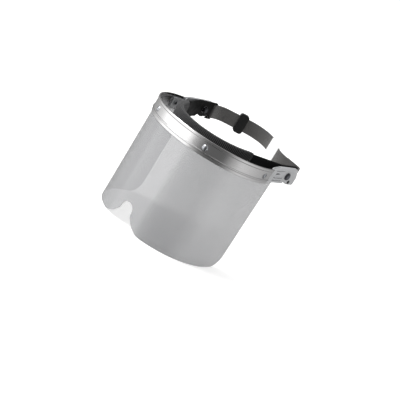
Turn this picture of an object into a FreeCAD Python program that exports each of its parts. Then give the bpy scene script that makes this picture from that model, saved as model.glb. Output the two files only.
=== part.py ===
import FreeCAD, Part
import os
from math import atan2, cos, degrees, radians, sin, tan

from FreeCAD import Placement, Rotation, Vector

# Face shield: a visor on an aluminium brow band swings on a padded headband with a rear strap.
# Millimetres, +Z up, the wearer looks along -Y. The lower edge of the visor is at Z = 0.
# Plan curves are centred on the brow arc while the parts are drawn. They are moved at the end
# so that the origin is at the middle of the object's base.

DIMENSIONS = [
    ("arc_radius", 96.0, "outside of the brow band, seen from above"),
    ("side_lean", 6.0, "degrees that the sides close in behind the brow arc"),
    ("bend_run", 29.1, "side length from the end of the arc to the bracket's bend"),
    ("band_top", 165.0, "top of the brow band above the visor's lower edge"),
    ("band_height", 23.0, "brow band, top to bottom"),
    ("band_wall", 1.2, "brow band sheet"),
    ("band_run", 10.4, "side length of the band behind the arc"),
    ("hem_proud", 0.8, "how far the rolled hems stand out"),
    ("visor_wall", 1.0, "visor sheet"),
    ("visor_gap", 0.05, "room between visor and its neighbours"),
    ("visor_top_drop", 3.0, "band top down to the visor's hidden top edge"),
    ("visor_run", 27.0, "side length of the visor behind the arc"),
    ("visor_corner", 20.0, "radius of the visor's lower rear corners"),
    ("notch_height", 32.5, "notch at the middle of the lower edge"),
    ("notch_half_width", 10.4, "half the width of the notch's straight part"),
    ("notch_shoulder", 17.5, "height where the notch starts to flare"),
    ("notch_foot", 27.0, "half the width where the flare would meet the edge"),
    ("strip_wall", 1.0, "inner clamp strip sheet"),
    ("strip_height", 15.0, "inner clamp strip, top to bottom"),
    ("strip_half_angle", 84.0, "degrees of arc each side of the middle"),
    ("rivet_drop", 11.5, "band top down to the rivets"),
    ("rivet_shank", 4.0, "rivet shank diameter"),
    ("rivet_head", 8.4, "rivet dome diameter"),
    ("rivet_dome", 2.0, "rivet dome height"),
    ("front_rivet_angle", 30.0, "degrees from the middle of the brow"),
    ("rear_rivet_angle", 92.0, "degrees from the middle of the brow"),
    ("bracket_wall", 4.0, "side bracket, outside to inside"),
    ("bracket_end", 91.0, "rearmost point of the bracket, Y"),
    ("pivot_back", 64.7, "pivot axis behind the centre of the arc, Y"),
    ("pivot_drop", 6.9, "band top down to the pivot axis"),
    ("pivot_shank", 6.0, "pivot screw diameter"),
    ("pivot_play", 0.05, "running clearance on the radius"),
    ("pivot_head", 10.6, "pivot screw head diameter"),
    ("washer_wall", 1.8, "friction washer"),
    ("stop_radius", 14.3, "stop pin from the pivot axis"),
    ("stop_angle", -35.0, "degrees of the stop pin, visor down"),
    ("stop_pin", 4.0, "stop pin diameter"),
    ("swing", 90.0, "degrees that the visor swings up"),
    ("headgear_pitch", 2.5, "degrees that the headgear is tipped up at the back"),
    ("ring_radius", 67.0, "middle of the headband's front arc"),
    ("ring_back", 3.0, "centre of the headband's arc behind the brow arc's centre"),
    ("flare_angle", 18.4, "degrees that the headband's sides open towards the back"),
    ("headband_wall", 2.2, "headband plastic"),
    ("headband_height", 27.0, "headband, top to bottom"),
    ("temple_end", 91.0, "rearmost point of the headband's temples, Y"),
    ("pad_outside", 1.5, "pad in front of the headband"),
    ("pad_inside", 6.5, "pad between headband and forehead"),
    ("pad_overlap", 1.5, "pad above and below the headband"),
    ("pad_run", 14.0, "length of the pad behind the headband's arc"),
    ("strap_width", 22.0, "elastic webbing"),
    ("strap_wall", 1.2, "elastic webbing"),
    ("slot_near", 83.5, "front of the strap slots, Y"),
    ("slot_far", 87.5, "back of the strap slots, Y"),
    ("sleeve_length", 44.0, "blank label sleeve"),
    ("sleeve_wall", 0.5, "blank label sleeve"),
    ("slider_length", 14.5, "strap slider along the strap"),
    ("slider_height", 31.0, "strap slider across the strap"),
]

doc = FreeCAD.newDocument("FaceShield")
sheet = doc.addObject("Spreadsheet::Sheet", "Dimensions")
size = {}
for row, (alias, value, note) in enumerate(DIMENSIONS, 1):
    sheet.set(f"A{row}", note)
    sheet.set(f"B{row}", str(value))
    sheet.setAlias(f"B{row}", alias)
    size[alias] = value
doc.recompute()

lean = radians(size["side_lean"])
arc = size["arc_radius"]
top = size["band_top"]
pivot = Vector(0, size["pivot_back"], top - size["pivot_drop"])
SIDES = {"right": -1, "left": 1}     # the wearer's own sides: left is +X
LONG_CUT = "300 mm"


# ---- sketches -------------------------------------------------------------------------------

def bind(item, settings):
    """Bind properties to cells: an alias stands for its cell of the sheet."""
    for prop, expression in settings.items():
        item.setExpression(prop, expression.replace("$", "Dimensions."))


def new_body(label, item_type="PartDesign::Body"):
    item = doc.addObject(item_type, label)
    item.Label = label
    return item


def new_sketch(body, role, height=None):
    """A sketch on one of the body's own origin planes, raised by an expression."""
    plane = next(item for item in body.Origin.OriginFeatures if item.Role == role)
    sketch = body.newObject("Sketcher::SketchObject", f"{body.Label}_sketch")
    sketch.AttachmentSupport = [(plane, "")]
    sketch.MapMode = "FlatFace"
    if height:
        bind(sketch, {"AttachmentOffset.Base.z": height})
    return sketch


def unit(vector):
    return Vector(vector).normalize()


def rounded(corners, closed=True):
    """Lines and tangent arcs through corners, each given as x, y and radius."""
    points = [Vector(x, y, 0) for x, y, _ in corners]
    count = len(points)
    joints = []
    for index, (_, _, radius) in enumerate(corners):
        here = points[index]
        if radius == 0 or (not closed and index in (0, count - 1)):
            joints.append((here, None, here))
            continue
        before = unit(points[index - 1] - here)
        after = unit(points[(index + 1) % count] - here)
        half = before.getAngle(after) / 2
        reach = radius / tan(half)
        centre = here + unit(before + after) * (radius / sin(half))
        middle = centre + unit(here - centre) * radius
        joints.append((here + before * reach, middle, here + after * reach))
    edges = []
    for index, (start, middle, end) in enumerate(joints):
        if middle:
            edges.append(Part.Arc(start, middle, end))
        if closed or index < count - 1:
            nearest = joints[(index + 1) % count][0]
            if end.distanceToPoint(nearest) > 1e-6:
                edges.append(Part.LineSegment(end, nearest))
    return edges


def beside(route, distance):
    """The route moved to its left by a distance, with its radii changed to match."""
    moved = []
    points = [Vector(x, y, 0) for x, y, _ in route]
    for index, (x, y, radius) in enumerate(route):
        here = points[index]
        arriving = unit(here - points[index - 1]) if index else unit(points[1] - here)
        leaving = unit(points[index + 1] - here) if index < len(route) - 1 else arriving
        normal = Vector(-arriving.y - leaving.y, arriving.x + leaving.x, 0)
        across = unit(normal)
        half_turn = arriving.getAngle(leaving) / 2
        spot = here + across * (distance / cos(half_turn))
        turn = arriving.x * leaving.y - arriving.y * leaving.x
        grown = radius - distance * (1 if turn > 0 else -1) if radius else 0
        moved.append((spot.x, spot.y, grown))
    return moved


def ribbon(route, left, right):
    """Closed outline of a strip that lies between two distances from its route."""
    return beside(route, left) + beside(route, -right)[::-1]


def mirrored(half):
    """A route that is the same on both sides of the YZ plane, from its right half."""
    return half + [(-x, y, radius) for x, y, radius in reversed(half)]


def pad(body, edges, height_from, length):
    sketch = new_sketch(body, "XY_Plane", height_from)
    sketch.addGeometry(edges)
    feature = body.newObject("PartDesign::Pad", f"{body.Label}_pad")
    feature.Profile = sketch
    bind(feature, {"Length": length})
    return feature


def cut(body, edges, role="YZ_Plane", height=None, length=None):
    """Cut a profile through the body, or over a length to both sides of its plane."""
    doc.recompute()
    before = body.Shape.Volume
    sketch = new_sketch(body, role, height)
    sketch.addGeometry(edges)
    feature = body.newObject("PartDesign::Pocket", f"{body.Label}_cut")
    feature.Profile = sketch
    feature.Midplane = True
    feature.Length = LONG_CUT
    if length:
        bind(feature, {"Length": length})
    doc.recompute()
    if not body.Shape.Volume < before:
        raise RuntimeError(f"{body.Label}: a cut removed nothing")
    return feature


def circle(x, y, diameter):
    return Part.Circle(Vector(x, y, 0), Vector(0, 0, 1), diameter / 2)


# ---- plan of the visor unit -----------------------------------------------------------------

def side_point(inset, run):
    """A point on the right side wall, a run behind the end of the arc."""
    radius = arc - inset
    return (radius * cos(lean) - run * sin(lean), radius * sin(lean) + run * cos(lean), 0)


def arc_point(inset, angle):
    radius = arc - inset
    return Vector(radius * sin(angle), -radius * cos(angle), 0)


def brow_route(inset, run):
    """Right side end, round the brow, to the left side end."""
    radius = arc - inset
    corner = (radius * tan(radians(45) + lean / 2), -radius, radius)
    return mirrored([side_point(inset, run), corner])


bend = side_point(0, size["bend_run"])


def bend_point(inset):
    return (bend[0] - inset, bend[1] - inset * tan(lean / 2), 0)


def rear_point(inset, back):
    return (bend[0] - inset, back, 0)


# ---- brow band, clamp strip and visor -------------------------------------------------------

def band_profile():
    """Section at the middle of the brow: hem at the top, ridge, and flange at the bottom."""
    proud = size["hem_proud"]
    low = size["band_height"]
    outline = [(-proud, 0, 0.8), (-proud, 3.4, 0.7), (0, 4.2, 0.5), (0, 16.6, 0.4),
               (-proud, 17.2, 0.5), (-proud, 18.6, 0.5), (0, 19.2, 0.3), (0, low, 0.3),
               (size["band_wall"], low, 0.3), (size["band_wall"], 0, 0.5)]
    return [(-arc + inward, top - drop, radius) for inward, drop, radius in outline]


def make_band():
    body = new_body("frame_band")
    spine = new_sketch(body, "XY_Plane", "$band_top")
    route = brow_route(0, size["band_run"])
    half = rounded([route[0], route[1], (0, -arc, 0)], closed=False)
    spine.addGeometry(half)
    profile = new_sketch(body, "YZ_Plane")
    profile.addGeometry(rounded(band_profile()))
    pipe = body.newObject("PartDesign::AdditivePipe", "frame_band_pipe")
    pipe.Profile = profile
    pipe.Spine = spine
    doc.recompute()
    mirror = body.newObject("PartDesign::Mirrored", "frame_band_mirror")
    mirror.Originals = [pipe]
    plane = next(item for item in body.Origin.OriginFeatures if item.Role == "YZ_Plane")
    mirror.MirrorPlane = (plane, [""])
    body.Tip = mirror
    return body


def make_visor():
    body = new_body("visor_sheet")
    outside = size["band_wall"] + size["visor_gap"]
    route = brow_route(outside, size["visor_run"])
    pad(body, rounded(ribbon(route, 0, size["visor_wall"])), "0", "$band_top - $visor_top_drop")

    under = -0.15                    # the cutters reach just below the edge
    half, foot = size["notch_half_width"], size["notch_foot"]
    notch = [(half, size["notch_height"], half - 0.01), (half, size["notch_shoulder"], 11.0),
             (foot, under, 32.0), (foot + 30, under, 0), (foot + 30, -6, 0)]
    cut(body, rounded(mirrored(notch)), role="XZ_Plane")

    rear = side_point(outside, size["visor_run"])[1] + 0.2
    radius = size["visor_corner"]
    corner = [(rear, under, radius), (rear, 40, 0), (rear + 9, 40, 0), (rear + 9, -6, 0),
              (rear - 40, -6, 0), (rear - 40, under, 0)]
    cut(body, rounded(corner))
    return body


def make_strip():
    body = new_body("inner_strip")
    outside = arc - size["band_wall"] - 2 * size["visor_gap"] - size["visor_wall"]
    half = radians(size["strip_half_angle"])
    rings = []
    for radius in (outside, outside - size["strip_wall"]):
        ends = [Vector(side * radius * sin(half), -radius * cos(half), 0) for side in (-1, 1)]
        rings.append((ends, Part.Arc(ends[0], Vector(0, -radius, 0), ends[1])))
    (outer_ends, outer), (inner_ends, inner) = rings
    edges = [outer, inner] + [Part.LineSegment(a, b) for a, b in zip(outer_ends, inner_ends)]
    pad(body, edges, "$band_top - $rivet_drop - $strip_height / 2", "$strip_height")
    return body


# ---- rivets ---------------------------------------------------------------------------------

RING_WALL = 0.6                      # washer under a rivet's tail


def radial(angle, inset):
    """Placement on the band at an angle, with local +Z pointing outwards."""
    base = arc_point(inset, angle) + Vector(0, 0, top - size["rivet_drop"])
    outwards = arc_point(0, angle)
    return Placement(base, Rotation(Vector(0, 0, 1), outwards))


def rivet_shape(grip):
    """Domed head outside the band, shank through the stack and a rolled tail inside."""
    head, dome = size["rivet_head"] / 2, size["rivet_dome"]
    ball = (head ** 2 + dome ** 2) / (2 * dome)
    sphere = Part.makeSphere(ball, Vector(0, 0, dome - ball))
    cap = sphere.common(Part.makeCylinder(head + 1, dome))
    tail = Part.makeCone(2.4, 2.9, 1.0, Vector(0, 0, -grip - 1.0))
    shank = Part.makeCylinder(size["rivet_shank"] / 2, grip + 0.5, Vector(0, 0, -grip))
    return cap.fuse([shank, tail]).removeSplitter()


def make_rivets(label, angle, grip):
    item = new_body(label, "Part::Feature")
    solids = []
    for side in SIDES.values():
        solid = rivet_shape(grip)
        solid.Placement = radial(side * angle, 0)
        solids.append(solid)
    item.Shape = Part.makeCompound(solids)
    return item


def make_rivet_washers(stacks):
    """Flat washers under the tails. Each stack is an angle and its depth below the band."""
    item = new_body("rivet_washers", "Part::Feature")
    solids = []
    for angle, depth in stacks:
        for side in SIDES.values():
            ring = Part.makeCylinder(3.6, RING_WALL)
            ring = ring.cut(Part.makeCylinder(size["rivet_shank"] / 2, RING_WALL))
            ring.Placement = radial(side * angle, depth)
            solids.append(ring)
    item.Shape = Part.makeCompound(solids)
    return item


def drilled(body, label, angles, side_names=("left", "right")):
    """Cut the rivet holes through a body. The cut carries the sub-part's name."""
    body.Label = f"{label}_blank"
    drills = []
    for angle in angles:
        for name in side_names:
            drill = doc.addObject("Part::Cylinder", f"{label}_drill")
            bind(drill, {"Radius": "$rivet_shank / 2"})
            drill.Height = 14
            drill.Placement = radial(SIDES[name] * angle, 10)
            drills.append(drill)
    tool = drills[0]
    if len(drills) > 1:
        tool = doc.addObject("Part::MultiFuse", f"{label}_drills")
        tool.Shapes = drills
    result = new_body(label, "Part::Cut")
    result.Base = body
    result.Tool = tool
    return result


# ---- side brackets --------------------------------------------------------------------------

def bracket_plan(side):
    """Seen from above: a front tab inside the visor, a groove for its edge and a thick rear."""
    tab_outer = size["band_wall"] + 2 * size["visor_gap"] + size["visor_wall"]
    wall = size["bracket_wall"]
    start, full = radians(88), radians(90) + lean
    front = size["band_run"] + 0.2
    groove = size["visor_run"] + 0.5
    corners = [side_point(tab_outer, 0), side_point(tab_outer, groove),
               side_point(size["band_wall"], groove), side_point(size["band_wall"], front),
               side_point(0, front), bend_point(0), rear_point(0, size["bracket_end"]),
               rear_point(wall, size["bracket_end"]), bend_point(wall), side_point(wall, 0)]
    points = [Vector(side * x, y, 0) for x, y, _ in corners]
    edges = [Part.LineSegment(a, b) for a, b in zip(points, points[1:])]
    ends = []
    for inset in (wall, tab_outer):
        spots = [arc_point(inset, side * angle) for angle in (full, (start + full) / 2, start)]
        edges.append(Part.Arc(*spots))
        ends.append(spots[-1])
    edges.append(Part.LineSegment(*ends))
    return edges


def bracket_outline():
    """Seen from the side, as Y, Z and radius: the stepped lower edge and the rounded end."""
    end = size["bracket_end"]
    drops = [(-8, 4.0, 1), (-8, 19.0, 1), (16, 19.0, 0), (20, 20.0, 3), (34, 20.4, 2),
             (61, 18.8, 1), (64, 16.4, 1), (70, 16.4, 1), (73, 19.0, 1), (end - 0.3, 18.2, 2),
             (end - 0.5, 6.0, 8), (end - 9, -6.6, 6), (58, -5.3, 40), (40, -4.2, 30),
             (21, -1.0, 3), (20.6, 4.0, 0)]
    return [(back, top - drop, radius) for back, drop, radius in drops]


# Shallow panels in the bracket's outer face, as Y and the drop from the band's top.
BRACKET_PANELS = [[(31, 1.0), (52, -0.4), (52, 1.2), (31, 2.6)],
                  [(31, 10.6), (55, 9.6), (55, 12.4), (31, 13.4)],
                  [(31, 15.2), (55, 14.2), (55, 16.4), (31, 17.4)]]
PANEL_DEPTH = 0.8


def make_bracket(name):
    side = SIDES[name]
    body = new_body(f"bracket_{name}")
    pad(body, bracket_plan(side), "$band_top - 30", "45")
    frame = [(-30, top - 40, 0), (110, top - 40, 0), (110, top + 30, 0), (-30, top + 30, 0)]
    cut(body, rounded(frame) + rounded(bracket_outline()))
    cut(body, [circle(pivot.y, pivot.z, size["pivot_shank"] + 2 * size["pivot_play"])])
    pin = stop_centre()
    cut(body, [circle(pin.y, pin.z, size["stop_pin"])])
    slot = [(33, 7.6), (43, 7.0), (43, 4.6), (33, 5.2)]
    cut(body, rounded([(back, top - drop, 1) for back, drop in slot]))
    for corners in BRACKET_PANELS:
        recess(body, [(back, top - drop, 0.7) for back, drop in corners], bend[0] * side)
    return drilled(body, f"bracket_{name}", [radians(size["rear_rivet_angle"])], (name,))


def recess(body, corners, outside):
    """A shallow panel sunk into the outer face."""
    sketch = new_sketch(body, "YZ_Plane")
    sketch.AttachmentOffset = Placement(Vector(0, 0, outside), Rotation())
    sketch.addGeometry(rounded(corners))
    feature = body.newObject("PartDesign::Pocket", f"{body.Label}_recess")
    feature.Profile = sketch
    feature.Midplane = True
    feature.Length = 2 * PANEL_DEPTH
    doc.recompute()


def stop_centre():
    angle = radians(size["stop_angle"])
    reach = size["stop_radius"]
    return Vector(0, pivot.y + reach * cos(angle), pivot.z + reach * sin(angle))


def across(side, inset, centre):
    """Placement that lays +Z along X, pointing inwards from an inset of the bracket."""
    base = Vector(side * (bend[0] - inset), centre.y, centre.z)
    return Placement(base, Rotation(Vector(0, 0, 1), Vector(-side, 0, 0)))


def make_stop_pins():
    item = new_body("stop_pins", "Part::Feature")
    solids = []
    for side in SIDES.values():
        pin = Part.makeCylinder(size["stop_pin"] / 2, 7.4)
        pin = pin.fuse(Part.makeCylinder(size["stop_pin"] / 2 + 0.6, 0.6, Vector(0, 0, -0.6)))
        pin.Placement = across(side, 0, stop_centre())
        solids.append(pin.removeSplitter())
    item.Shape = Part.makeCompound(solids)
    return item


# ---- headband and pad -----------------------------------------------------------------------

SEAT = 0.05                          # room between faces that rest on each other
plate = size["bracket_wall"] + size["washer_wall"] + 2 * SEAT + size["headband_wall"] / 2
temple_x = bend[0] - plate
ring_front = size["ring_back"] - size["ring_radius"]
flare = radians(size["flare_angle"])
ring_corner = size["ring_radius"] * tan(radians(45) - flare / 2)
flare_back = ring_front + (temple_x - ring_corner) / tan(flare)
HEADBAND_BEND = 14.0


def headband_route(back=None):
    """Right temple end, round the forehead, to the left temple end."""
    corner = (ring_corner, ring_front, size["ring_radius"])
    if back is None:
        half = [(temple_x, size["temple_end"], 0), (temple_x, flare_back, HEADBAND_BEND), corner]
    else:
        reach = ring_corner + back
        half = [(ring_corner + reach * sin(flare), ring_front + reach * cos(flare), 0), corner]
    return mirrored(half)


def stop_notch():
    """The stop pin's path in the temple plate: a ring sector that opens at the lower edge."""
    margin = size["stop_pin"] / 2 + 0.35
    reach = size["stop_radius"]
    spare = degrees(margin / reach)
    lowered = size["stop_angle"] - size["headgear_pitch"]
    first = radians(lowered + spare)
    last = radians(lowered - size["swing"] - spare)
    rim = []
    for radius in (reach - margin, reach + margin + 2):
        spots = [Vector(pivot.y + radius * cos(angle), pivot.z + radius * sin(angle), 0)
                 for angle in (first, (first + last) / 2, last)]
        rim.append(spots)
    inner, outer = rim
    return [Part.Arc(*inner), Part.LineSegment(inner[2], outer[2]), Part.Arc(*outer[::-1]),
            Part.LineSegment(outer[0], inner[0])]


def make_headband():
    body = new_body("headband")
    half = size["headband_wall"] / 2
    low = "$band_top - $pivot_drop - $headband_height / 2"
    pad(body, rounded(ribbon(headband_route(), half, half)), low, "$headband_height")
    cut(body, [circle(pivot.y, pivot.z, size["pivot_shank"])])
    cut(body, stop_notch())
    room = size["strap_width"] / 2 + 0.5
    near, far = size["slot_near"], size["slot_far"]
    cut(body, rounded([(near, pivot.z - room, 1), (far, pivot.z - room, 1),
                       (far, pivot.z + room, 1), (near, pivot.z + room, 1)]))
    end, edge = size["temple_end"], size["headband_height"] / 2
    for way in (-1, 1):
        corner = [(0.1, 0.1, 3.0), (-9, 0.1, 0), (-9, 3, 0), (3, 3, 0), (3, -9, 0), (0.1, -9, 0)]
        cut(body, rounded([(end + back, pivot.z + way * (edge + up), radius)
                           for back, up, radius in corner]))
    return body


def make_pad():
    body = new_body("sweat_pad")
    half = size["headband_wall"] / 2
    route = headband_route(size["pad_run"])
    low = "$band_top - $pivot_drop - $headband_height / 2 - $pad_overlap"
    outside, inside = half + size["pad_outside"], half + size["pad_inside"]
    pad(body, rounded(ribbon(route, outside, inside)), low, "$headband_height + 2 * $pad_overlap")
    slot = rounded(ribbon(headband_route(size["pad_run"] + 5), half + 0.05, half + 0.05))
    cut(body, slot, "XY_Plane", "$band_top - $pivot_drop", "$headband_height + 0.1")
    return body


# ---- pivots ---------------------------------------------------------------------------------

NUT_RADIUS = 5.2                     # to its corners
NUT_HEIGHT = 3.2
SPRING_WALL = 0.8
WASHER_RADIUS = 6.5
HEAD_PROUD = 2.5                     # screw head beyond the bracket's outer face


def turned(label, name, inset, rings):
    """Stacked discs on the pivot axis, each an outer radius, a bore radius and a thickness."""
    item = new_body(f"{label}_{name}", "Part::Feature")
    solid = None
    depth = 0
    for outer, bore, thick in rings:
        disc = Part.makeCylinder(outer, thick, Vector(0, 0, depth))
        if bore:
            disc = disc.cut(Part.makeCylinder(bore, thick, Vector(0, 0, depth)))
        solid = solid.fuse(disc) if solid else disc
        depth += thick
    solid = solid.removeSplitter()
    solid.Placement = across(SIDES[name], inset, pivot)
    item.Shape = solid
    return item


def make_pivot(name):
    """Screw, washers and nut, from the outside in."""
    shank = size["pivot_shank"] / 2
    head = size["pivot_head"] / 2
    wall = size["bracket_wall"] + SEAT
    inner = plate + size["headband_wall"] / 2
    shank_length = inner + SPRING_WALL + NUT_HEIGHT + 0.9
    discs = [(head - 1.0, 0, 0.7), (head, 0, 1.7), (shank, 0, shank_length)]
    screw = turned("pivot_screw", name, -HEAD_PROUD, discs)
    rub = turned("friction_washer", name, wall, [(WASHER_RADIUS, shank, size["washer_wall"])])
    spring = turned("spring_washer", name, inner, [(NUT_RADIUS, shank, SPRING_WALL)])
    nut = new_body(f"pivot_nut_{name}", "Part::Feature")
    angles = [radians(60 * k) for k in range(7)]
    corners = [Vector(NUT_RADIUS * cos(angle), NUT_RADIUS * sin(angle), 0) for angle in angles]
    hexagon = Part.Face(Part.makePolygon(corners)).extrude(Vector(0, 0, NUT_HEIGHT))
    hexagon = hexagon.cut(Part.makeCylinder(shank, NUT_HEIGHT))
    hexagon.Placement = across(SIDES[name], inner + SPRING_WALL, pivot)
    nut.Shape = hexagon
    return [screw, rub, spring, nut]


# ---- rear strap -----------------------------------------------------------------------------

# Plan of the strap's inner layer. It leaves the left temple, runs straight through the slider,
# turns behind the head, runs straight under the label and comes round to the right temple.
LOOP = 2.0                           # from a slot's bar to the middle of the strap
SLOT_LINE = size["slot_far"] - 0.9   # where the strap goes through the slots
SLIDER_HEADING = 48.0
SLIDER_SHIFT = 6.0                   # along its straight stretch, from the middle
SLIDER_CORNER = 3.9
LABEL_HEADING = -41.0
TAIL_LENGTH = 30.0                   # sewn end beyond the right turn
STRAP_PITCH = 1.7                    # between the middles of the strap's two layers
strap_x = temple_x - LOOP
first_turn = (-strap_x, 108.0, 30.0)
last_turn = (strap_x, 104.0, 8.0)
back_turn_radius = 34.0
label_turn = (40.5, 107.1, 40.0)


def meet(start, heading, end, other_heading):
    """Where a line from one point crosses a line from another."""
    slope, other = tan(radians(heading)), tan(radians(other_heading))
    x = (end[1] - start[1] + slope * start[0] - other * end[0]) / (slope - other)
    return x, start[1] + slope * (x - start[0])


back_turn = meet(first_turn, SLIDER_HEADING, label_turn, LABEL_HEADING) + (back_turn_radius,)


def strap_route():
    """The whole strap: return, left loop, inner layer, right loop and sewn tail."""
    main = [(-strap_x, SLOT_LINE, 0), first_turn, back_turn, label_turn, last_turn,
            (strap_x, SLOT_LINE, 0)]
    outer_x = temple_x + LOOP
    near = STRAP_PITCH
    right_loop = [(strap_x, SLOT_LINE, 1.2), (outer_x, SLOT_LINE, 1.2), (outer_x, 91.8, 2)]
    tail = beside(main[3:5] + [(strap_x, 90, 0)], near)
    tail_turn = Vector(*tail[1][:2], 0)
    tail_end = tail_turn + unit(Vector(*tail[0][:2], 0) - tail_turn) * TAIL_LENGTH
    right_side = right_loop + [(tail[1][0], 94.6, 2), tail[1], (tail_end.x, tail_end.y, 0)]
    back = beside(main[:4], near)
    label_start = Vector(*back[3][:2], 0) - Vector(*back[2][:2], 0)
    return_end = Vector(*back[2][:2], 0) + unit(label_start) * (back_turn_radius + 2)
    left_loop = [(-strap_x, SLOT_LINE, 1.2), (-outer_x, SLOT_LINE, 1.2), (-outer_x, 91.8, 2),
                 (back[1][0], 94.6, 2)]
    left_side = left_loop + [back[1], back[2], (return_end.x, return_end.y, 0)]
    return left_side[::-1] + main[1:5] + right_side


def straight(before, start, end, after):
    """The straight stretch between two rounded corners of the strap: its middle and heading."""
    line = rounded([before, start, end, after], False)[2]
    middle = (line.StartPoint + line.EndPoint) * 0.5
    way = line.EndPoint - line.StartPoint
    return middle, degrees(atan2(way.y, way.x)), way.Length


def make_strap():
    body = new_body("rear_strap")
    half = size["strap_wall"] / 2
    low = "$band_top - $pivot_drop - $strap_width / 2"
    pad(body, rounded(ribbon(strap_route(), half, half)), low, "$strap_width")
    return body


def block(length, out_from, out_to, height):
    """A box along local X, across local Y and centred on local Z."""
    return Part.makeBox(length, out_to - out_from, height, Vector(-length / 2, out_from, -height / 2))


def on_strap(middle, heading):
    return Placement(Vector(middle.x, middle.y, pivot.z), Rotation(Vector(0, 0, 1), heading))


def make_sleeve():
    item = new_body("label_sleeve", "Part::Feature")
    middle, heading, _ = straight(first_turn, back_turn, label_turn, last_turn)
    room = size["strap_wall"] / 2 + 0.05
    wall = size["sleeve_wall"]
    length, high = size["sleeve_length"], size["strap_width"] + 0.1
    sleeve = block(length, -room - wall, room + wall, high + 2 * wall)
    sleeve = sleeve.cut(block(length + 2, -room, room, high))
    sleeve.Placement = on_strap(middle, heading)
    item.Shape = sleeve
    return item


def make_slider():
    """An adjuster with a plate on the head side and two bars behind the strap."""
    item = new_body("strap_slider", "Part::Feature")
    middle, heading, _ = straight((-strap_x, SLOT_LINE, 0), first_turn, back_turn, label_turn)
    length, high = size["slider_length"], size["slider_height"]
    near, far = -0.9, 2.6
    shell = block(length, near - 2.0, far + 1.6, high)
    shell = shell.cut(block(length + 2, near, far, size["strap_width"] + 0.6))
    corner = Vector(-2.2, far - 0.5, 1.5 - size["strap_width"] / 2)
    shell = shell.cut(Part.makeBox(4.4, 4, size["strap_width"] - 3, corner))
    crown = [edge for edge in shell.Edges if len(edge.Vertexes) == 2
             and abs(edge.BoundBox.YLength - (far + 1.6 - near + 2.0)) < 0.01
             and edge.BoundBox.XLength < 0.01 and edge.BoundBox.ZLength < 0.01]
    shell = shell.makeFillet(SLIDER_CORNER, crown)
    way = Vector(cos(radians(heading)), sin(radians(heading)), 0)
    shell.Placement = on_strap(middle + way * SLIDER_SHIFT, heading)
    item.Shape = shell
    return item


def make_studs(pad_body, headband_body):
    """Two studs through the pad's ends, and the holes that they sit in."""
    item = new_body("pad_studs", "Part::Feature")
    route = headband_route(size["pad_run"] - 5)
    half = size["headband_wall"] / 2
    solids, holes = [], []
    for spot, side in ((route[0], 1), (route[-1], -1)):
        outwards = Vector(side * cos(flare), -sin(flare), 0)
        turn = Rotation(Vector(0, 0, 1), outwards)
        face = half + size["pad_outside"]
        stud = Part.makeCylinder(1.5, face + half + 1.2, Vector(0, 0, -half - 1.2))
        rim = Part.makeCone(3.2, 2.2, 1.0, Vector(0, 0, face))
        stud = stud.fuse(rim).removeSplitter()
        stud.Placement = Placement(Vector(spot[0], spot[1], pivot.z), turn)
        solids.append(stud)
        hole = Part.makeCylinder(1.5, face + half + 1.2 + 4, Vector(0, 0, -half - 1.2))
        hole.Placement = stud.Placement
        holes.append(hole)
    item.Shape = Part.makeCompound(solids)
    tool = doc.addObject("Part::Feature", "stud_holes")
    tool.Shape = Part.makeCompound(holes)
    results = []
    for body in (pad_body, headband_body):
        label = body.Label
        body.Label = f"{label}_blank"
        result = new_body(label, "Part::Cut")
        result.Base = body
        result.Tool = tool
        results.append(result)
    return [item] + results


# ---- assembly -------------------------------------------------------------------------------

band_in = size["band_wall"] + 2 * size["visor_gap"] + size["visor_wall"]
front_grip = band_in + size["strip_wall"] + 2 * SEAT + RING_WALL
rear_grip = size["bracket_wall"] + 2 * SEAT + RING_WALL
front_angle, rear_angle = radians(size["front_rivet_angle"]), radians(size["rear_rivet_angle"])

band = drilled(make_band(), "frame_band", [front_angle, rear_angle])
visor = drilled(make_visor(), "visor_sheet", [front_angle, rear_angle])
strip = drilled(make_strip(), "inner_strip", [front_angle])
visor_unit = [band, visor, strip,
              make_rivets("front_rivets", front_angle, front_grip),
              make_rivets("rear_rivets", rear_angle, rear_grip),
              make_rivet_washers([(front_angle, front_grip), (rear_angle, rear_grip)]),
              make_bracket("left"), make_bracket("right"), make_stop_pins()]

headgear = make_studs(make_pad(), make_headband())
headgear += make_pivot("left") + make_pivot("right")
headgear += [make_strap(), make_sleeve(), make_slider()]
doc.recompute()

# The headgear is tipped about the pivots, and then everything moves to the middle of its base.
tip = Placement(Vector(0, 0, 0), Rotation(Vector(1, 0, 0), size["headgear_pitch"]), pivot)
for part in headgear:
    part.Placement = tip.multiply(part.Placement)
doc.recompute()
whole = FreeCAD.BoundBox()
for part in visor_unit + headgear:
    whole.add(part.Shape.optimalBoundingBox(False, False))
to_origin = Placement(Vector(-whole.Center.x, -whole.Center.y, -whole.ZMin), Rotation())
for part in visor_unit + headgear:
    part.Placement = to_origin.multiply(part.Placement)
doc.recompute()

for item in doc.Objects:
    if "Invalid" in item.State or "Error" in item.State:
        raise RuntimeError(f"{item.Label} failed: {item.State}")
os.makedirs("parts", exist_ok=True)
for part in visor_unit + headgear:
    if part.Shape.isNull() or not part.Shape.isValid():
        raise RuntimeError(f"{part.Label} has no valid shape")
    part.Shape.exportStep(f"parts/{part.Label}.step")
    print(f"{part.Label}: {part.Shape.Volume:.0f} mm3, {len(part.Shape.Solids)} solid(s)")

moved_pivot = to_origin.multVec(pivot)
slider_line = straight((-strap_x, SLOT_LINE, 0), first_turn, back_turn, label_turn)
print("size", [round(v, 2) for v in (whole.XLength, whole.YLength, whole.ZLength)])
print("pivot at", [round(v, 3) for v in moved_pivot])
print("slider heading", round(slider_line[1], 3), "run", round(slider_line[2], 1))
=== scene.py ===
from math import cos, pi, radians, sin, tan

import bpy
from mathutils import Matrix, Vector


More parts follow.
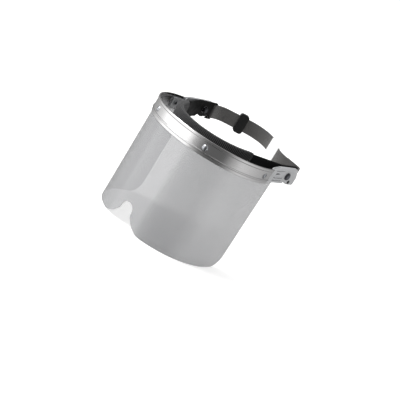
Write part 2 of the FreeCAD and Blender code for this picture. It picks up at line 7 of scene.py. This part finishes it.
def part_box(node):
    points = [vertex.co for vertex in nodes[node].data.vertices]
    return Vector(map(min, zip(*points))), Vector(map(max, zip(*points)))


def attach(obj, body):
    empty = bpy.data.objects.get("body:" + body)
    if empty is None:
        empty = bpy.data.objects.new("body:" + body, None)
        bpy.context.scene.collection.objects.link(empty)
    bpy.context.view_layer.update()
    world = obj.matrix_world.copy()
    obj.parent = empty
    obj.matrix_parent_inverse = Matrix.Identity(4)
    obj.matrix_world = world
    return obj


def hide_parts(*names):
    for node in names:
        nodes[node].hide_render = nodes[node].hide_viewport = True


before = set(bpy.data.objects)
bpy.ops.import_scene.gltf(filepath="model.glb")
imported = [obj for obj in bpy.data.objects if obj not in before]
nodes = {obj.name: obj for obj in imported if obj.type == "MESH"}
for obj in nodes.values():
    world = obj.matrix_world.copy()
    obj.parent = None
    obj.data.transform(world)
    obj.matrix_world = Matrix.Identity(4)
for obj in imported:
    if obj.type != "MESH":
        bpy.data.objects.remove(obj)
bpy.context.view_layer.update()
print("frame loaded:", len(nodes), "nodes")

# camera, light and floor

cameraSettings = {
    "place": (0.670887, -1.081149, 0.414273),
    "right": (0.6473815, 0.5619772, 0.5148580),
    "down": (0.5755097, 0.0824395, -0.8136291),
    "ahead": (-0.4996856, 0.8230342, -0.2700535),
    "lens": 82.807,              # on a 36 mm sensor
}


def makeCamera(settings):
    camera = bpy.data.objects.new("camera", bpy.data.cameras.new("camera"))
    camera.data.sensor_width = 36
    camera.data.lens = settings["lens"]
    camera.data.clip_start, camera.data.clip_end = 0.05, 30
    right, down, ahead = (Vector(settings[key]).normalized() for key in ("right", "down", "ahead"))
    turn = Matrix((right, -down, -ahead)).transposed()
    camera.matrix_world = Matrix.Translation(settings["place"]) @ turn.to_4x4()
    bpy.context.scene.collection.objects.link(camera)
    bpy.context.scene.camera = camera


makeCamera(cameraSettings)

studio = {
    "backdrop": 1.05,
    "fill": 0.64,                # light that reaches the object from all round
    # what shiny surfaces mirror, by heading in degrees: 0 is straight in front, 90 the wearer's left
    "mirrored": [(-180, 0.35), (-130, 0.38), (-105, 0.62), (-92, 0.95), (-74, 1.25), (-62, 1.95),
                 (-4, 1.95), (6, 0.80), (20, 0.30), (34, 0.17), (62, 0.17), (78, 0.60),
                 (95, 1.0), (150, 0.60), (180, 0.40)],
    # and how much of it by height, from straight down to straight up
    "mirroredHeights": [(-1, 0.35), (-0.62, 0.45), (-0.36, 1.0), (-0.16, 1.0), (0.06, 0.5),
                        (0.3, 0.75), (1, 1.0)],
    "keyPower": 44.0,
    "keyPlace": (-1.1, -1.2, 1.7),
    "keySize": 1.2,
    "floorColour": (0.93, 0.93, 0.925),
    "floorGlow": 0.42,
}


def makeRamp(tree, field, low, high, stops):
    # a grey ramp over a range, from value and level pairs; the levels are a share of the largest
    spread = tree.nodes.new("ShaderNodeMapRange")
    spread.inputs["From Min"].default_value = low
    spread.inputs["From Max"].default_value = high
    tree.links.new(field, spread.inputs["Value"])
    ramp = tree.nodes.new("ShaderNodeValToRGB")
    marks = ramp.color_ramp.elements
    marks.remove(marks[1])
    largest = max(level for _, level in stops)
    for index, (value, level) in enumerate(stops):
        share = (value - low) / (high - low)
        mark = marks.new(share) if index else marks[0]
        mark.position = share
        mark.color = (level / largest,) * 3 + (1,)
    tree.links.new(spread.outputs["Result"], ramp.inputs[0])
    return ramp.outputs["Color"], largest


def makeWorld(settings):
    world = bpy.data.worlds.new("studio")
    bpy.context.scene.world = world
    world.use_nodes = True
    tree = world.node_tree
    tree.nodes.clear()
    new, link = tree.nodes.new, tree.links.new
    parts = new("ShaderNodeSeparateXYZ")
    link(new("ShaderNodeTexCoord").outputs["Generated"], parts.inputs[0])
    forward = new("ShaderNodeMath")
    forward.operation = "MULTIPLY"
    forward.inputs[1].default_value = -1
    link(parts.outputs["Y"], forward.inputs[0])
    heading = new("ShaderNodeMath")
    heading.operation = "ARCTAN2"
    link(parts.outputs["X"], heading.inputs[0])
    link(forward.outputs[0], heading.inputs[1])
    turned = [(radians(degrees), level) for degrees, level in settings["mirrored"]]
    around, brightest = makeRamp(tree, heading.outputs[0], -pi, pi, turned)
    upright, _ = makeRamp(tree, parts.outputs["Z"], -1, 1, settings["mirroredHeights"])
    both = new("ShaderNodeMix")
    both.data_type, both.blend_type = "RGBA", "MULTIPLY"
    both.inputs["Factor"].default_value = 1
    link(around, both.inputs["A"])
    link(upright, both.inputs["B"])

    def light(strength, colour=None):
        background = new("ShaderNodeBackground")
        background.inputs["Color"].default_value = (1, 1, 1, 1)
        background.inputs["Strength"].default_value = strength
        if colour:
            link(colour, background.inputs["Color"])
        return background.outputs[0]

    def choose(share, first, second):
        mix = new("ShaderNodeMixShader")
        link(share, mix.inputs[0])
        link(first, mix.inputs[1])
        link(second, mix.inputs[2])
        return mix.outputs[0]

    rays = new("ShaderNodeLightPath")
    onlyMirrored = new("ShaderNodeMath")
    onlyMirrored.operation = "SUBTRACT"
    onlyMirrored.use_clamp = True
    link(rays.outputs["Is Glossy Ray"], onlyMirrored.inputs[0])
    link(rays.outputs["Is Transmission Ray"], onlyMirrored.inputs[1])
    lit = choose(rays.outputs["Is Diffuse Ray"], light(settings["backdrop"]), light(settings["fill"]))
    seen = choose(onlyMirrored.outputs[0], lit, light(brightest, both.outputs["Result"]))
    link(seen, new("ShaderNodeOutputWorld").inputs["Surface"])


def makeKeyLight(settings):
    lamp = bpy.data.lights.new("keyLight", "AREA")
    lamp.energy, lamp.size = settings["keyPower"], settings["keySize"]
    key = bpy.data.objects.new("keyLight", lamp)
    key.location = settings["keyPlace"]
    key.rotation_mode = "QUATERNION"
    key.rotation_quaternion = (-Vector(settings["keyPlace"])).to_track_quat("-Z", "Y")
    bpy.context.scene.collection.objects.link(key)


bpy.context.scene.view_settings.view_transform = "Standard"
makeWorld(studio)
makeKeyLight(studio)
print("camera and studio ready")



# finishes: every one starts from the same shader, then gets its own grain
def newFinish(name, **sockets):
    material = bpy.data.materials.new(name)
    material.use_nodes = True
    shader = material.node_tree.nodes["Principled BSDF"]
    for socket, value in sockets.items():
        if isinstance(value, tuple):
            value = value + (1,)
        shader.inputs[socket.replace("_", " ")].default_value = value
    return material


def addNode(material, kind, **inputs):
    node = material.node_tree.nodes.new("ShaderNode" + kind)
    for name, value in inputs.items():
        if hasattr(value, "is_output"):
            material.node_tree.links.new(value, node.inputs[name])
        else:
            node.inputs[name].default_value = value
    return node


def joinTo(material, output, socket):
    shader = material.node_tree.nodes["Principled BSDF"]
    material.node_tree.links.new(output, shader.inputs[socket])


def grain(material, scale, stretch=(1, 1, 1), detail=4, coordinates="Object"):
    place = addNode(material, "TexCoord").outputs[coordinates]
    mapped = addNode(material, "Mapping", Vector=place, Scale=stretch)
    noise = addNode(material, "TexNoise", Vector=mapped.outputs[0], Scale=scale, Detail=detail)
    return noise.outputs["Fac"]


def wave(material, coordinate, pitch):
    # a sine along one coordinate, one turn per pitch
    turn = addNode(material, "Math")
    turn.operation = "MULTIPLY"
    turn.inputs[1].default_value = 2 * pi / pitch
    material.node_tree.links.new(coordinate, turn.inputs[0])
    curve = addNode(material, "Math")
    curve.operation = "SINE"
    material.node_tree.links.new(turn.outputs[0], curve.inputs[0])
    return curve.outputs[0]


def combine(material, operation, first, second):
    node = addNode(material, "Math")
    node.operation = operation
    for index, value in enumerate((first, second)):
        if hasattr(value, "is_output"):
            material.node_tree.links.new(value, node.inputs[index])
        else:
            node.inputs[index].default_value = value
    return node.outputs[0]


def between(material, field, low, high, start=0.35, end=0.65):
    spread = addNode(material, "MapRange")
    for name, value in (("From Min", start), ("From Max", end), ("To Min", low), ("To Max", high)):
        spread.inputs[name].default_value = value
    material.node_tree.links.new(field, spread.inputs["Value"])
    return spread.outputs["Result"]


def colourBetween(material, field, dark, light, start=0.35, end=0.65):
    ramp = addNode(material, "ValToRGB", Fac=field)
    stops = ramp.color_ramp.elements
    stops[0].position, stops[1].position = start, end
    stops[0].color, stops[1].color = dark + (1,), light + (1,)
    joinTo(material, ramp.outputs["Color"], "Base Color")


def bump(material, field, strength, distance):
    node = addNode(material, "Bump", Height=field, Strength=strength, Distance=distance)
    joinTo(material, node.outputs["Normal"], "Normal")


def polishedAluminium(name, tint, roughness):
    material = newFinish(name, Metallic=1.0)
    rolled = grain(material, 60, (1, 1, 30), 6)
    colourBetween(material, grain(material, 9, (1, 1, 2)), tuple(0.94 * v for v in tint), tint)
    joinTo(material, between(material, rolled, roughness * 0.7, roughness * 1.4), "Roughness")
    bump(material, rolled, 0.08, 0.0002)
    return material


def smokeSheet(name, tint, cover):
    # each face of the sheet covers a share of what is behind it
    material = newFinish(name, IOR=1.62, Alpha=cover, Coat_Weight=1.0, Coat_IOR=1.7, Coat_Roughness=0.03)
    haze = grain(material, 14)
    colourBetween(material, haze, tuple(0.97 * v for v in tint), tint)
    joinTo(material, between(material, haze, 0.055, 0.075), "Roughness")
    return material


def moulded(name, colour, roughness, texture=0.25, shine=0.4):
    # moulded plastic: a fine spark-eroded grain and slight cloudiness
    material = newFinish(name, Specular_IOR_Level=shine)
    colourBetween(material, grain(material, 30), tuple(0.88 * v for v in colour), colour)
    fine = grain(material, 1800, detail=2)
    joinTo(material, between(material, grain(material, 140), roughness * 0.85, roughness * 1.2), "Roughness")
    bump(material, fine, texture, 0.00012)
    return material


def platedSteel(name, tint, roughness):
    material = newFinish(name, Metallic=1.0)
    scuffs = grain(material, 700, (1, 1, 1), 5)
    colourBetween(material, scuffs, tuple(0.85 * v for v in tint), tint)
    joinTo(material, between(material, scuffs, roughness * 0.7, roughness * 1.5), "Roughness")
    bump(material, scuffs, 0.1, 0.0001)
    return material


def webbing(name, dark, light, ribPitch, pickPitch, depth):
    # woven elastic: cords along the strap crossed by tight picks
    material = newFinish(name, Roughness=0.86, Sheen_Weight=0.25, Specular_IOR_Level=0.25)
    parts = addNode(material, "SeparateXYZ", Vector=addNode(material, "TexCoord").outputs["UV"])
    cords = wave(material, parts.outputs["Y"], ribPitch)
    picks = wave(material, parts.outputs["X"], pickPitch)
    crossed = combine(material, "MULTIPLY", cords, picks)
    woven = combine(material, "ADD", crossed, combine(material, "MULTIPLY", cords, 0.6))
    fuzz = combine(material, "MULTIPLY", grain(material, 2600, detail=3), 1.4)
    height = combine(material, "ADD", woven, fuzz)
    # the colour follows the weave height: painted shade darkens the valleys between cords and picks, and the
    # fuzz adds random tone
    colourBetween(material, between(material, height, 0, 1, -1.2, 2.4), dark, light, 0.1, 0.9)
    bump(material, height, 0.55, depth)
    return material


def ribbedCloth(name, dark, light):
    # towelling: pin holes between the ribs, and a short fuzzy nap
    material = newFinish(name, Roughness=0.93, Sheen_Weight=0.12, Specular_IOR_Level=0.15)
    parts = addNode(material, "SeparateXYZ", Vector=addNode(material, "TexCoord").outputs["UV"])
    across = wave(material, parts.outputs["X"], 0.0024)
    along = wave(material, parts.outputs["Y"], 0.0019)
    holes = combine(material, "MULTIPLY", combine(material, "MULTIPLY", across, along), 0.5)
    ribs = combine(material, "ADD", across, holes)
    nap = combine(material, "MULTIPLY", grain(material, 1500, detail=4), 1.2)
    height = combine(material, "ADD", ribs, nap)
    # the colour follows the rib height: painted shade darkens the grooves and pin holes, and the nap adds
    # random tone
    colourBetween(material, between(material, height, 0, 1, -0.8, 2.2), dark, light, 0.15, 0.9)
    bump(material, height, 0.6, 0.0004)
    return material


bandMetal = polishedAluminium("polishedBand", (0.575, 0.57, 0.57), 0.17)
stripMetal = polishedAluminium("millStrip", (0.52, 0.52, 0.53), 0.3)
rivetMetal = platedSteel("brightRivet", (0.42, 0.43, 0.45), 0.22)
plate = platedSteel("zincPlate", (0.66, 0.66, 0.69), 0.3)
blackedSteel = platedSteel("blackedSteel", (0.05, 0.05, 0.055), 0.35)
visorSheet = smokeSheet("smokeSheet", (0.250, 0.253, 0.261), 0.62)
bracketPlastic = moulded("greyMoulding", (0.42, 0.425, 0.435), 0.42)
blackPlastic = moulded("blackMoulding", (0.005, 0.005, 0.005), 0.46, 0.15, 0.1)
sliderPlastic = moulded("sliderMoulding", (0.013, 0.013, 0.013), 0.36, 0.06, 0.22)
knobPlastic = moulded("knobMoulding", (0.028, 0.030, 0.036), 0.4)
capPlastic = moulded("capMoulding", (0.075, 0.08, 0.095), 0.45)
nylon = moulded("blackNylon", (0.01, 0.01, 0.01), 0.35)
waxyPlastic = moulded("washerNylon", (0.03, 0.03, 0.03), 0.5)
# in the strap, label tape and thread webbings the darker colour is painted shade for the valleys of the
# weave
strapCloth = webbing("charcoalWebbing", (0.040, 0.039, 0.038), (0.122, 0.118, 0.114), 0.0011, 0.0008, 0.0003)
labelCloth = webbing("whiteTape", (0.86, 0.86, 0.85), (0.97, 0.97, 0.96), 0.0007, 0.0006, 0.0001)
# the darker towelling colour is painted shade for the grooves and pin holes
padCloth = ribbedCloth("blackTowelling", (0.005, 0.005, 0.005), (0.105, 0.105, 0.107))
thread = webbing("thread", (0.02, 0.02, 0.02), (0.09, 0.09, 0.09), 0.0006, 0.0006, 0.0001)

finishes = {
    "frame_band": bandMetal, "visor_sheet": visorSheet, "inner_strip": stripMetal,
    "front_rivets": rivetMetal, "rear_rivets": rivetMetal, "rivet_washers": plate,
    "bracket_left": bracketPlastic, "bracket_right": bracketPlastic, "stop_pins": nylon,
    "pad_studs": plate, "headband": blackPlastic, "pivot_screw_left": knobPlastic,
    "pivot_screw_right": knobPlastic, "friction_washer_left": waxyPlastic,
    "friction_washer_right": waxyPlastic, "spring_washer_left": plate, "spring_washer_right": plate,
    "pivot_nut_left": blackedSteel, "pivot_nut_right": blackedSteel, "strap_slider": sliderPlastic,
}
for name, material in finishes.items():
    nodes[name].data.materials.clear()
    nodes[name].data.materials.append(material)
print("finishes ready")

# The lines below are in millimetres, in plan, before the headgear is tipped up at the back.

mm = 0.001
pivotLow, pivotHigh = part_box("pivot_screw_left")
pivotBack, pivotHeight = 64.7, 158.1
shiftBack = (pivotLow.y + pivotHigh.y) / 2 / mm - pivotBack
pitch = radians(2.5)


def worn(x, y, z):
    # z is measured from the height of the pivots
    back = y - pivotBack
    return Vector((x, pivotBack + shiftBack + back * cos(pitch) - z * sin(pitch),
                   pivotHeight + back * sin(pitch) + z * cos(pitch))) * mm


def smooth(value, low, high):
    t = min(max((value - low) / (high - low), 0), 1)
    return t * t * (3 - 2 * t)


def roundedLine(corners, step):
    # straight runs and tangent arcs through corners of x, y and radius
    points = [Vector(corner[:2]) for corner in corners]
    line = [points[0]]

    def runTo(goal):
        start = line[-1]
        count = max(1, round((goal - start).length / step))
        line.extend(start.lerp(goal, (k + 1) / count) for k in range(count))

    for before, here, after, corner in zip(points, points[1:], points[2:], corners[1:]):
        toBefore, toAfter = (before - here).normalized(), (after - here).normalized()
        half = toBefore.angle(toAfter) / 2
        runTo(here + toBefore * (corner[2] / tan(half)))
        centre = here + (toBefore + toAfter).normalized() * (corner[2] / sin(half))
        spoke = line[-1] - centre
        turn = pi - 2 * half
        if toBefore.cross(toAfter) > 0:
            turn = -turn
        count = max(3, round(abs(turn) * corner[2] / step))
        for k in range(count):
            angle = turn * (k + 1) / count
            line.append(centre + Vector((spoke.x * cos(angle) - spoke.y * sin(angle),
                                         spoke.x * sin(angle) + spoke.y * cos(angle))))
    runTo(points[-1])
    return line


def stations(line):
    # each point of a line with its outward direction and the length up to it
    found, length = [], 0
    for index, point in enumerate(line):
        before, after = line[max(index - 1, 0)], line[min(index + 1, len(line) - 1)]
        along = (after - before).normalized()
        length += (point - before).length if index else 0
        found.append((point, Vector((-along.y, along.x)), along, length))
    return found


def newMesh(name, vertices, faces, uvs, material, body):
    mesh = bpy.data.meshes.new(name)
    mesh.from_pydata(vertices, [], faces)
    layer = mesh.uv_layers.new(name="weave")
    for polygon, corners in zip(mesh.polygons, uvs):
        polygon.use_smooth = True
        for loop, uv in zip(polygon.loop_indices, corners):
            layer.data[loop].uv = uv
    mesh.materials.append(material)
    piece = bpy.data.objects.new(name, mesh)
    bpy.context.scene.collection.objects.link(piece)
    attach(piece, body)
    return piece


def loft(name, rings, lengths, material, body, holes=None):
    # skins closed rings, with flat ends, or with ends that join an inner set of rings
    count = len(rings[0])
    vertices, faces, uvs = [], [], []

    def skin(someRings, flip):
        first = len(vertices)
        for ring in someRings:
            vertices.extend(ring)
        around = [0]
        for k in range(count):
            around.append(around[-1] + (someRings[0][(k + 1) % count] - someRings[0][k]).length)
        for r in range(len(someRings) - 1):
            for k in range(count):
                a, b = first + r * count + k, first + r * count + (k + 1) % count
                face = (a, b, b + count, a + count)
                corner = [(lengths[r], around[k]), (lengths[r], around[k + 1]),
                          (lengths[r + 1], around[k + 1]), (lengths[r + 1], around[k])]
                faces.append(face[::-1] if flip else face)
                uvs.append(corner[::-1] if flip else corner)
        return first

    outer = skin(rings, False)
    lastRing = (len(rings) - 1) * count
    if holes:
        inner = skin(holes, True)
        for base, flip in ((0, True), (lastRing, False)):
            for k in range(count):
                after = (k + 1) % count
                face = (outer + base + k, outer + base + after, inner + base + after, inner + base + k)
                faces.append(face[::-1] if flip else face)
                uvs.append([(0, 0), (0, 0.001), (0.001, 0.001), (0.001, 0)])
    else:
        for base, flip in ((0, True), (lastRing, False)):
            face = tuple(range(outer + base, outer + base + count))
            faces.append(face[::-1] if flip else face)
            uvs.append([(0.001 * cos(k), 0.001 * sin(k)) for k in range(count)])
    return newMesh(name, vertices, faces, uvs, material, body)


def roundedSection(depth, height, radius, perCorner=3):
    # out-of-surface and up coordinates of a rectangle with round corners
    section = []
    for x, z, start in ((1, 1, 0), (-1, 1, 90), (-1, -1, 180), (1, -1, 270)):
        cx, cz = x * (depth / 2 - radius), z * (height / 2 - radius)
        for k in range(perCorner + 1):
            angle = radians(start + 90 * k / perCorner)
            section.append((cx + radius * cos(angle), cz + radius * sin(angle)))
    return section


def stitches(name, seams, material, body, thickness=0.5):
    # short thread capsules: each seam is a list of start and end points in the row frame
    vertices, faces, uvs = [], [], []
    sides, rings = 6, ((0.0, 0.35), (0.15, 0.9), (0.5, 1.0), (0.85, 0.9), (1.0, 0.35))
    for start, end, out in seams:
        along = end - start
        across = along.cross(out).normalized()
        first = len(vertices)
        for share, swell in rings:
            lift = out * (sin(pi * share) * 0.25 * mm)
            for k in range(sides):
                angle = 2 * pi * k / sides
                offset = (across * cos(angle) + out * sin(angle)) * (thickness / 2 * mm * swell)
                vertices.append(start + along * share + lift + offset)
        for r in range(len(rings) - 1):
            for k in range(sides):
                a, b = first + r * sides + k, first + r * sides + (k + 1) % sides
                faces.append((a, a + sides, b + sides, b))
                uvs.append([(r * mm, k * mm)] * 4)
        faces.append(tuple(range(first, first + sides)))
        faces.append(tuple(reversed(range(len(vertices) - sides, len(vertices)))))
        uvs.extend([[(0, 0)] * sides] * 2)
    return newMesh(name, vertices, faces, uvs, material, body)


# pivot caps: a low crowned disc with a slot across it, on each pivot screw's head

cap = {
    "radius": 3.3, "crown": 0.45, "rim": 0.25,
    "slotHalfWidth": 0.55, "slotEdge": 0.9, "slotDepth": 0.35,
    "slotTurn": 0.5,             # radians from level
    "turns": 56, "steps": 9,
}


def makeCap(side, settings):
    low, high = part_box("pivot_screw_" + side)
    way = 1 if side == "left" else -1
    face = high.x if way > 0 else low.x
    centre = Vector((face, (low.y + high.y) / 2, (low.z + high.z) / 2))
    turns, steps = settings["turns"], settings["steps"]
    tilt = settings["slotTurn"]
    vertices, faces, uvs = [], [], []
    for ring in range(steps + 1):
        share = ring / steps
        radius = settings["radius"] * (1 - share)
        for k in range(turns):
            angle = 2 * pi * k / turns
            y, z = radius * cos(angle), radius * sin(angle)
            rise = settings["rim"] * min(share * 4, 1) + settings["crown"] * (1 - (1 - share) ** 2) * 0.5
            across = abs(y * cos(tilt) + z * sin(tilt))
            slot = 1 - smooth(across, settings["slotHalfWidth"], settings["slotEdge"])
            rise -= settings["slotDepth"] * slot * min(share * 5, 1)
            vertices.append(centre + Vector((way * (rise - 0.02), y, z)) * mm)
    for ring in range(steps):
        for k in range(turns):
            a, b = ring * turns + k, ring * turns + (k + 1) % turns
            face = (a, b, b + turns, a + turns)
            faces.append(face if way > 0 else face[::-1])
            uvs.append([(0, 0), (0, mm), (mm, mm), (mm, 0)])
    bottom = tuple(range(turns))
    faces.append(bottom[::-1] if way > 0 else bottom)
    uvs.append([(0, 0)] * turns)
    piece = newMesh("pivotCap_" + side, vertices, faces, uvs, capPlastic, "headgear")


# sweat pad: a crowned towelling sleeve over foam, ribbed on the outside

pad = {
    "route": [(67.994, -4.864, 0), (48.322, -64.0, 67.0), (-48.322, -64.0, 67.0), (-67.994, -4.864, 0)],
    "outside": 2.55, "inside": 7.5, "halfHeight": 15.0, "squareness": 4.0,
    "ribPitch": 2.4, "ribHeight": 0.75, "innerRibHeight": 0.12, "ribTop": 15.5,
    "seamHeight": 12.6, "seamDepth": 0.55,
    "endTaper": 7.0, "endThickness": 1.6,
    "slotDepth": 2.3, "slotHeight": 27.1,
    "step": 0.4, "samples": 72,  # along the pad and round it
    "stitchStep": 9, "stitchSpan": 5, "stitchEnds": (12, 20), "threadWidth": 0.45,
}


def superellipse(share, power):
    c, s = cos(2 * pi * share), sin(2 * pi * share)
    return (abs(c) ** (2 / power) * (1 if c > 0 else -1), abs(s) ** (2 / power) * (1 if s > 0 else -1))


def makePad(settings):
    places = stations(roundedLine(settings["route"], settings["step"]))
    total = places[-1][3]
    samples = settings["samples"]
    outline = [superellipse((k + 0.5) / samples, settings["squareness"]) for k in range(samples)]
    rings, holes, lengths = [], [], []
    for point, outward, _, length in places:
        nearEnd = min(length, total - length)
        ease = 1 - (1 - min(nearEnd / settings["endTaper"], 1)) ** 2
        ease = ease ** 0.5
        thin = settings["endThickness"]
        outside = thin + (settings["outside"] - thin) * ease
        inside = thin + (settings["inside"] - thin) * ease
        rib = 0.5 - 0.5 * cos(2 * pi * length / settings["ribPitch"])
        ring, hole = [], []
        for across, up in outline:
            z = up * settings["halfHeight"]
            n = across * (outside if across > 0 else inside)
            height = settings["ribHeight"] * ease if across > 0 else settings["innerRibHeight"]
            push = height * (rib - 0.5)
            push *= 1 - smooth(z, settings["ribTop"] - 1.5, settings["ribTop"] + 0.5)
            seam = 1 - smooth(abs(abs(z) - settings["seamHeight"]), 0.1, 0.9)
            push -= seam * settings["seamDepth"] * ease * (1 if across < 0 else 0.5)
            n += push * (1 if across > 0 else -1)
            ring.append(worn(point.x + outward.x * n, point.y + outward.y * n, z))
            reach = max(abs(across) * 13, abs(up) * 13, 1e-6)
            hn = across * 13 / reach * settings["slotDepth"] / 2
            hz = up * 13 / reach * settings["slotHeight"] / 2
            hole.append(worn(point.x + outward.x * hn, point.y + outward.y * hn, hz))
        rings.append(ring)
        holes.append(hole)
        lengths.append(length * mm)
    piece = loft("sweatPadCover", rings, lengths, padCloth, "headgear", holes)
    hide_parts("sweat_pad")
    return places


def makePadStitches(settings, places):
    seams = []
    first, last = settings["stitchEnds"]
    for height in (settings["seamHeight"], -settings["seamHeight"]):
        for index in range(first, len(places) - last, settings["stitchStep"]):
            ends = []
            for point, outward, _, _ in (places[index], places[index + settings["stitchSpan"]]):
                n = settings["outside"] * 0.87 - 0.1
                ends.append(worn(point.x + outward.x * n, point.y + outward.y * n, height))
            out = Vector((places[index][1].x, places[index][1].y, 0))
            seams.append((ends[0], ends[1], out))
    piece = stitches("sweatPadStitches", seams, thread, "headgear", settings["threadWidth"])


for side in ("left", "right"):
    makeCap(side, cap)
padPlaces = makePad(pad)
makePadStitches(pad, padPlaces)
print("sweat pad ready")

# rear strap: one length of woven elastic, looped through both temples and doubled on the left

strap = {
    "route": [(-2.45, 146.688, 0), (-29.619, 170.306, 35.7), (-85.132, 108.653, 31.7),
              (-85.132, 94.6, 2), (-87.432, 91.8, 2), (-87.432, 86.6, 1.2), (-83.432, 86.6, 1.2),
              (-83.432, 108.0, 30.0), (-29.474, 167.927, 34.0), (40.5, 107.1, 40.0),
              (83.432, 104.0, 8.0), (83.432, 86.6, 1.2), (87.432, 86.6, 1.2), (87.432, 91.8, 2),
              (85.132, 94.6, 2), (85.132, 105.582, 9.7), (55.21, 107.742, 0)],
    "width": 21.8, "thickness": 1.15, "edgeRadius": 0.5,
    "tailSeams": (3.0, 15.0),    # rows across each tail, from its end
    "seamInset": 2.4, "stitchPitch": 2.8, "stitchLength": 1.9, "threadWidth": 0.5,
    "ringMiddle": (0, 95), "step": 0.8,
}


def makeStrap(settings):
    places = stations(roundedLine(settings["route"], settings["step"]))
    section = roundedSection(settings["thickness"], settings["width"], settings["edgeRadius"])
    rings, lengths = [], []
    for point, outward, _, length in places:
        rings.append([worn(point.x + outward.x * n, point.y + outward.y * n, z) for n, z in section])
        lengths.append(length * mm)
    piece = loft("rearStrapWebbing", rings, lengths, strapCloth, "headgear")
    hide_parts("rear_strap")
    return places


def makeStrapStitches(settings, places):
    # a sewn box on the outer face of each tail
    seams = []
    edge = settings["width"] / 2 - settings["seamInset"]
    rise = settings["thickness"] / 2 + 0.05
    ringMiddle = Vector(settings["ringMiddle"])

    def spot(place, z):
        point, outward = place[0], place[1]
        if outward.dot(point - ringMiddle) < 0:
            outward = -outward
        out = Vector((outward.x, outward.y, 0))
        return worn(point.x + outward.x * rise, point.y + outward.y * rise, z), out

    for tail in (places, places[::-1]):
        runs = [abs(place[3] - tail[0][3]) for place in tail]
        near, far = (min(range(len(runs)), key=lambda k: abs(runs[k] - goal))
                     for goal in settings["tailSeams"])
        for index in (near, far):
            z = -edge
            while z < edge - settings["stitchLength"]:
                start, out = spot(tail[index], z)
                seams.append((start, spot(tail[index], z + settings["stitchLength"])[0], out))
                z += settings["stitchPitch"]
        for z in (-edge, edge):
            for index in range(near, far - 2, 4):
                start, out = spot(tail[index], z)
                seams.append((start, spot(tail[index + 2], z)[0], out))
    piece = stitches("rearStrapStitches", seams, thread, "headgear", settings["threadWidth"])


strapPlaces = makeStrap(strap)
makeStrapStitches(strap, strapPlaces)
print("rear strap ready")

# label sleeve: blank white tape folded round the strap

label = {
    "middle": (13.09, 130.927), "heading": -41.0, "length": 44.0,
    "room": 0.68, "wall": 0.42, "height": 22.3, "swell": 0.25,
    "ripple": 0.12, "count": 44,
}


def makeLabel(settings):
    turn = radians(settings["heading"])
    along = Vector((cos(turn), sin(turn)))
    outward = Vector((-along.y, along.x))
    middle = Vector(settings["middle"])
    rings, holes, lengths = [], [], []
    count = settings["count"]
    for k in range(count + 1):
        share = k / count
        run = (share - 0.5) * settings["length"]
        fold = max(1 - min(share, 1 - share) * settings["length"] / 1.6, 0)
        swell = settings["swell"] * sin(pi * share) + settings["ripple"] * sin(7 * share + 1)
        outer = roundedSection(2 * (settings["room"] + settings["wall"]) + swell + 0.25 * (fold > 0),
                               settings["height"] + 2 * settings["wall"], 0.75)
        inner = roundedSection(2 * settings["room"], settings["height"], 0.3)
        spot = middle + along * run
        rings.append([worn(spot.x + outward.x * n, spot.y + outward.y * n, z) for n, z in outer])
        holes.append([worn(spot.x + outward.x * n, spot.y + outward.y * n, z) for n, z in inner])
        lengths.append((run + settings["length"] / 2) * mm)
    piece = loft("labelSleeveTape", rings, lengths, labelCloth, "headgear", holes)
    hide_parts("label_sleeve")


makeLabel(label)
print("label sleeve ready")


# a plain pale floor, which shiny surfaces don't mirror
def makeFloor(settings):
    mesh = bpy.data.meshes.new("floor")
    reach, low = 40, -0.0002
    corners = [(-reach, -reach, low), (reach, -reach, low), (reach, reach, low), (-reach, reach, low)]
    mesh.from_pydata(corners, [], [(0, 1, 2, 3)])
    floor = bpy.data.objects.new("floor", mesh)
    bpy.context.scene.collection.objects.link(floor)
    material = newFinish("paleFloor", Roughness=0.9, Specular_IOR_Level=0.1)
    shader = material.node_tree.nodes["Principled BSDF"]
    shader.inputs["Emission Color"].default_value = (1, 1, 1, 1)
    shader.inputs["Emission Strength"].default_value = settings["floorGlow"]
    colour = settings["floorColour"]
    colourBetween(material, grain(material, 4), tuple(0.99 * v for v in colour), colour)
    mesh.materials.append(material)
    floor.visible_glossy = False


makeFloor(studio)
print("floor ready")
